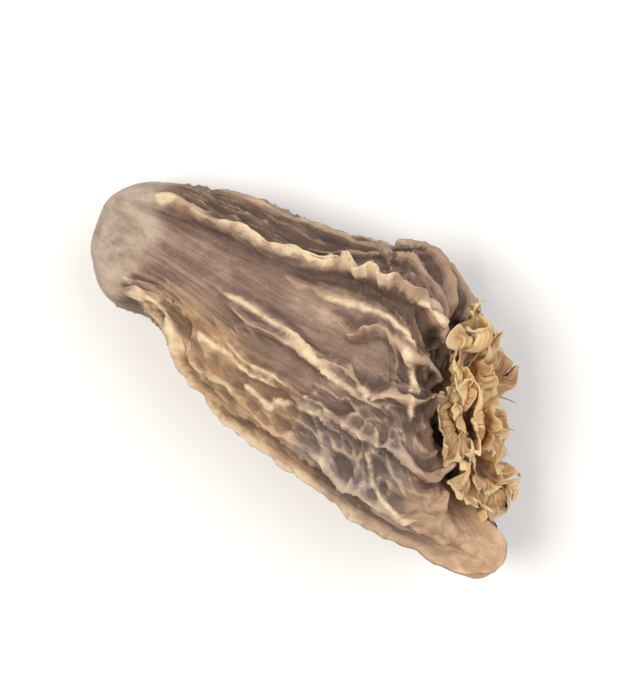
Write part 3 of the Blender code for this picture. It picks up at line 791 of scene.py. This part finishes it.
def smoke_dried_skin():
    """Capsule skin, dried over smoke: leathery, matt, purple-brown, with worn golden and cream high places.

    Hollows and the valleys between the ribs are darkened as painted shade, and so is the upper flank. Crests
    and small rises are cream, partly worn and partly painted highlight, and the stem end is pale and
    smoother. The lengthwise fibres are finer in life, and are drawn about 0.3 mm apart so that they show.
    """
    material, tree, shader = new_material("smoke_dried_capsule_skin")
    grain = add_node(tree, "Attribute", out="Vector", attribute_name="grain")
    place = add_node(tree, "TexCoord", out="Object")
    broad = cloudy(tree, place, (3.4 * MM, 2.4 * MM, 2.4 * MM), 3.0)
    patches = cloudy(tree, place, (1.3 * MM, 0.9 * MM, 0.9 * MM), 5.0, 0.6)
    fibres = cloudy(tree, grain, (0.30, 0.30, 4.0), 4.0, 0.6)
    threads = cloudy(tree, grain, (0.13, 0.13, 1.5), 3.0, 0.6)
    specks = cloudy(tree, place, (0.15 * MM,) * 3, 3.0, 0.7)
    flecks = cloudy(tree, place, (0.4 * MM,) * 3, 3.0, 0.6)
    crest = add_node(tree, "Attribute", out="Fac", attribute_name="crest")
    frayed = add_node(tree, "MapRange", {0: flecks, 1: 0.34, 2: 0.6, 3: 0.6, 4: 1.05})
    crest_wear_and_highlight = add_node(tree, "Math", {0: crest, 1: frayed}, operation="MULTIPLY")
    golden = painted(tree, "#987250", [(patches, 0.38, 0.62, 1.0, "#C49E74")])
    purplish = painted(tree, "#795E51", [(patches, 0.36, 0.64, 1.0, "#957768")])
    paler = painted(tree, "#987B6A", [(patches, 0.36, 0.64, 1.0, "#BB9D87")])
    greyish = painted(tree, "#7E6E65", [(patches, 0.36, 0.64, 1.0, "#A89A8F")])
    tanned = painted(tree, "#AC8867", [(patches, 0.38, 0.62, 1.0, "#D6B28F")])
    # Painted shade for the upper flank, darker where it faces away from the light
    upper_flank_shade = painted(tree, "#594638", [(patches, 0.36, 0.64, 1.0, "#786150")])
    stem_pale = painted(tree, "#9B8675", [(patches, 0.34, 0.62, 1.0, "#C0AC98")])
    colour = painted(tree, "#7A6052", [
        (broad, 0.36, 0.62, 1.0, "#A0806A"),
        (patches, 0.55, 0.72, 0.5, "#B79577"),
        ("gold", 0.1, 0.8, 0.95, golden),
        ("grey", 0.1, 0.8, 0.85, greyish),
        ("plum", 0.1, 0.7, 1.0, purplish),
        ("rubbed", 0.1, 0.8, 0.9, paler),
        # Painted shade on the upper flank
        ("shaded_upper_flank", 0.1, 0.7, 0.95, upper_flank_shade),
        (fibres, 0.50, 0.66, 0.4, "#BF9F84"),
        (fibres, 0.47, 0.34, 0.42, "#5E4536"),
        (threads, 0.48, 0.36, 0.25, "#664E3D"),
        ("stem", 0.0, 1.0, 0.9, stem_pale),
        # Painted shade in the valleys between the ribs and in small hollows; pale on small rises, partly wear
        # and partly painted highlight
        ("valley", 0.0, 0.8, 0.5, "#543D2F"),
        ("hollow", 0.15, 1.0, 0.68, "#3F2E26"),
        ("hollow", -0.2, -0.9, 0.45, "#CFB091"),
        ("tongue", 0.1, 0.9, 0.8, tanned),
        (specks, 0.60, 0.72, 0.3, "#4A3528"),
        # Cream on the crests and folds: partly wear, partly painted highlight
        (crest_wear_and_highlight, 0.25, 0.8, 0.92, "#E0C7A4"),
        ("scar", 0.0, 1.0, 0.8, "#5E4636"),
    ])
    tree.links.new(colour, shader.inputs["Base Color"])
    shine = add_node(tree, "MapRange", {0: patches, 1: 0.3, 2: 0.7, 3: 0.5, 4: 0.72})
    tree.links.new(shine, shader.inputs["Roughness"])
    shader.inputs["IOR"].default_value = 1.45
    bumped(tree, shader, ((patches, 0.10), (fibres, 0.10), (threads, 0.04), (specks, 0.04)))
    return material


def dry_bract_paper(name, light, dark, streak):
    """Dry bract paper: thin golden tissue, darkened at its root and in its pushed-in creases by painted
    shade, and pale where torn, with a low gloss.

    Its lengthwise veins are about 0.16 mm apart. It lets a little light through.
    """
    material, tree, shader = new_material(name)
    grain = add_node(tree, "Attribute", out="Vector", attribute_name="grain")
    broad = cloudy(tree, grain, (1.3, 1.3, 2.0), 3.0)
    veins = cloudy(tree, grain, (0.16, 0.16, 2.2), 4.0, 0.6)
    specks = cloudy(tree, grain, (0.12, 0.12, 0.2), 3.0, 0.7)
    colour = painted(tree, dark, [
        (broad, 0.38, 0.62, 1.0, light),
        (veins, 0.50, 0.64, 0.7, streak),
        (veins, 0.47, 0.35, 0.55, "#77502F"),
        # Painted shade at the strips' root, deep in the crown, and in the pushed-in creases
        ("root", 0.4, 1.0, 0.6, "#6B4A31"),
        ("fold", -0.3, -1.4, 0.4, "#7A5232"),
        ("tear", 0.3, 1.0, 0.5, "#EBCD9C"),
        (specks, 0.62, 0.72, 0.4, "#5A3C24"),
    ])
    tree.links.new(colour, shader.inputs["Base Color"])
    shine = add_node(tree, "MapRange", {0: broad, 1: 0.3, 2: 0.7, 3: 0.42, 4: 0.62})
    tree.links.new(shine, shader.inputs["Roughness"])
    shader.inputs["IOR"].default_value = 1.46
    shader.inputs["Subsurface Weight"].default_value = 0.3
    shader.inputs["Subsurface Radius"].default_value = (1.0, 0.6, 0.3)
    shader.inputs["Subsurface Scale"].default_value = 0.5 * MM
    bumped(tree, shader, ((veins, 0.09), (specks, 0.03)))
    return material


def straw_fibre():
    """Dry plant fibre: straw yellow to brown, with a low gloss. It varies from place to place within 2 mm."""
    material, tree, shader = new_material("dry_straw_fibre")
    place = add_node(tree, "TexCoord", out="Object")
    broad = cloudy(tree, place, (2.0 * MM,) * 3, 2.0)
    colour = painted(tree, "#6B4728", [(broad, 0.35, 0.62, 1.0, "#D2AC74")])
    tree.links.new(colour, shader.inputs["Base Color"])
    shader.inputs["Roughness"].default_value = 0.55
    return material


def shown(piece, node):
    """Lets a piece stand for its solid, on the one body there is."""
    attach(piece, "root")
    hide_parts(node)


def add_husk():
    """The wrinkled skin, in place of the solid husk."""
    points, values = husk_skin()
    shown(grid_piece("wrinkled_husk", points, values, smoke_dried_skin()), "husk")


def add_crown():
    """The outer crown and its rolled strip, then the browner layers inside, in place of the solid calyx."""
    points, values = paper_crown(
        TOOTH_SHARE, TOOTH_CURL, TOOTH_POINT, TOOTH_TURN, NECK_RADIUS, CROWN_RISE, TOOTH_LENGTH,
        (FLARE_ROOT, FLARE_TIP), OUTER_LIP, OUTER_FRAY,
    )
    golden = dry_bract_paper("dry_golden_bract_paper", "#E3B984", "#BA8B5C", "#EECE9E")
    shown(grid_piece("outer_torn_crown", seated(points), values, golden), "calyx")
    shown(grid_piece("rolled_crown_strip", *paper_curl(), golden), "calyx")
    brown = dry_bract_paper("dry_brown_bract_paper", "#D6A774", "#A4764C", "#E6C28F")
    for name, strips, neck, rise, length, flare, lip in CROWN_LAYERS:
        share, curl, point, turn = (DETAIL.uniform(*span, strips) for span in LAYER_SPANS)
        points, values = paper_crown(share, curl, point, turn, neck, rise, length, flare, lip, LAYER_FRAY)
        shown(grid_piece(name, seated(points), values, brown), "calyx")


def add_fibres():
    """All the fibres of the crown as one piece."""
    tubes = torn_fibres(FIBRE_COUNT)
    tube_faces = ring_faces(FIBRE_STEPS - 2, FIBRE_SIDES)
    tube_size = (FIBRE_STEPS - 2) * FIBRE_SIDES + 2
    points = np.concatenate([flat_list(tube) for tube in tubes])
    faces = [
        [point + first for point in face]
        for first in range(0, FIBRE_COUNT * tube_size, tube_size)
        for face in tube_faces
    ]
    shown(mesh_piece("torn_crown_fibres", points, faces, straw_fibre()), "calyx")


def add_floor():
    """A wide pale tabletop."""
    mesh = bpy.data.meshes.new("pale_tabletop")
    half = 1.5
    corners = [(-half, -half, 0), (half, -half, 0), (half, half, 0), (-half, half, 0)]
    mesh.from_pydata(corners, [], [(0, 1, 2, 3)])
    material, tree, shader = new_material("matt_pale_card")
    shader.inputs["Base Color"].default_value = linear("#F4F3F0")
    shader.inputs["Roughness"].default_value = 0.8
    mesh.materials.append(material)
    floor = bpy.data.objects.new("pale_tabletop", mesh)
    bpy.context.scene.collection.objects.link(floor)


# The picture's directions: its right and its up lie on the table, turned from +X
PICTURE_TURN = math.radians(27.8)
RIGHT = np.array([math.cos(PICTURE_TURN), math.sin(PICTURE_TURN), 0.0])
UP = np.array([-math.sin(PICTURE_TURN), math.cos(PICTURE_TURN), 0.0])
OUT = np.array([0.0, 0.0, 1.0])


def add_light(name, right, up, out, size, power, colour):
    """A soft square light at a place in the picture's directions, in metres, that faces the pod."""
    place = right * RIGHT + up * UP + out * OUT
    data = bpy.data.lights.new(name, "AREA")
    data.size = size
    data.energy = power
    data.color = linear(colour)[:3]
    light = bpy.data.objects.new(name, data)
    light.location = place
    facing = -place / np.linalg.norm(place)
    light.rotation_euler = (math.acos(-facing[2]), 0, math.atan2(-facing[0], facing[1]))
    bpy.context.scene.collection.objects.link(light)


def add_camera():
    """Looks straight down, as the photograph does, from far enough that nothing seems bent."""
    data = bpy.data.cameras.new("straight_above")
    view_height, distance = 0.0350, 0.45
    data.lens = data.sensor_width * distance / view_height
    data.clip_start = 0.005
    camera = bpy.data.objects.new("straight_above", data)
    camera.location = (0.0, 0.0, distance)
    camera.rotation_euler = (0, 0, PICTURE_TURN)
    bpy.context.scene.collection.objects.link(camera)
    bpy.context.scene.camera = camera


add_husk()
add_crown()
add_fibres()
add_floor()
add_camera()
# Soft daylight from the left, with a wide fill from the right
add_light("window", -0.22, -0.02, 0.46, 0.26, 2.05, "#FFFCF8")
add_light("fill", 0.34, 0.14, 0.46, 0.6, 2.5, "#FBFAFF")
world = bpy.data.worlds.new("pale_room")
world.use_nodes = True
world.node_tree.nodes["Background"].inputs[0].default_value = linear("#F5F5F2")
world.node_tree.nodes["Background"].inputs[1].default_value = 0.4
bpy.context.scene.world = world
bpy.context.scene.view_settings.view_transform = "Standard"
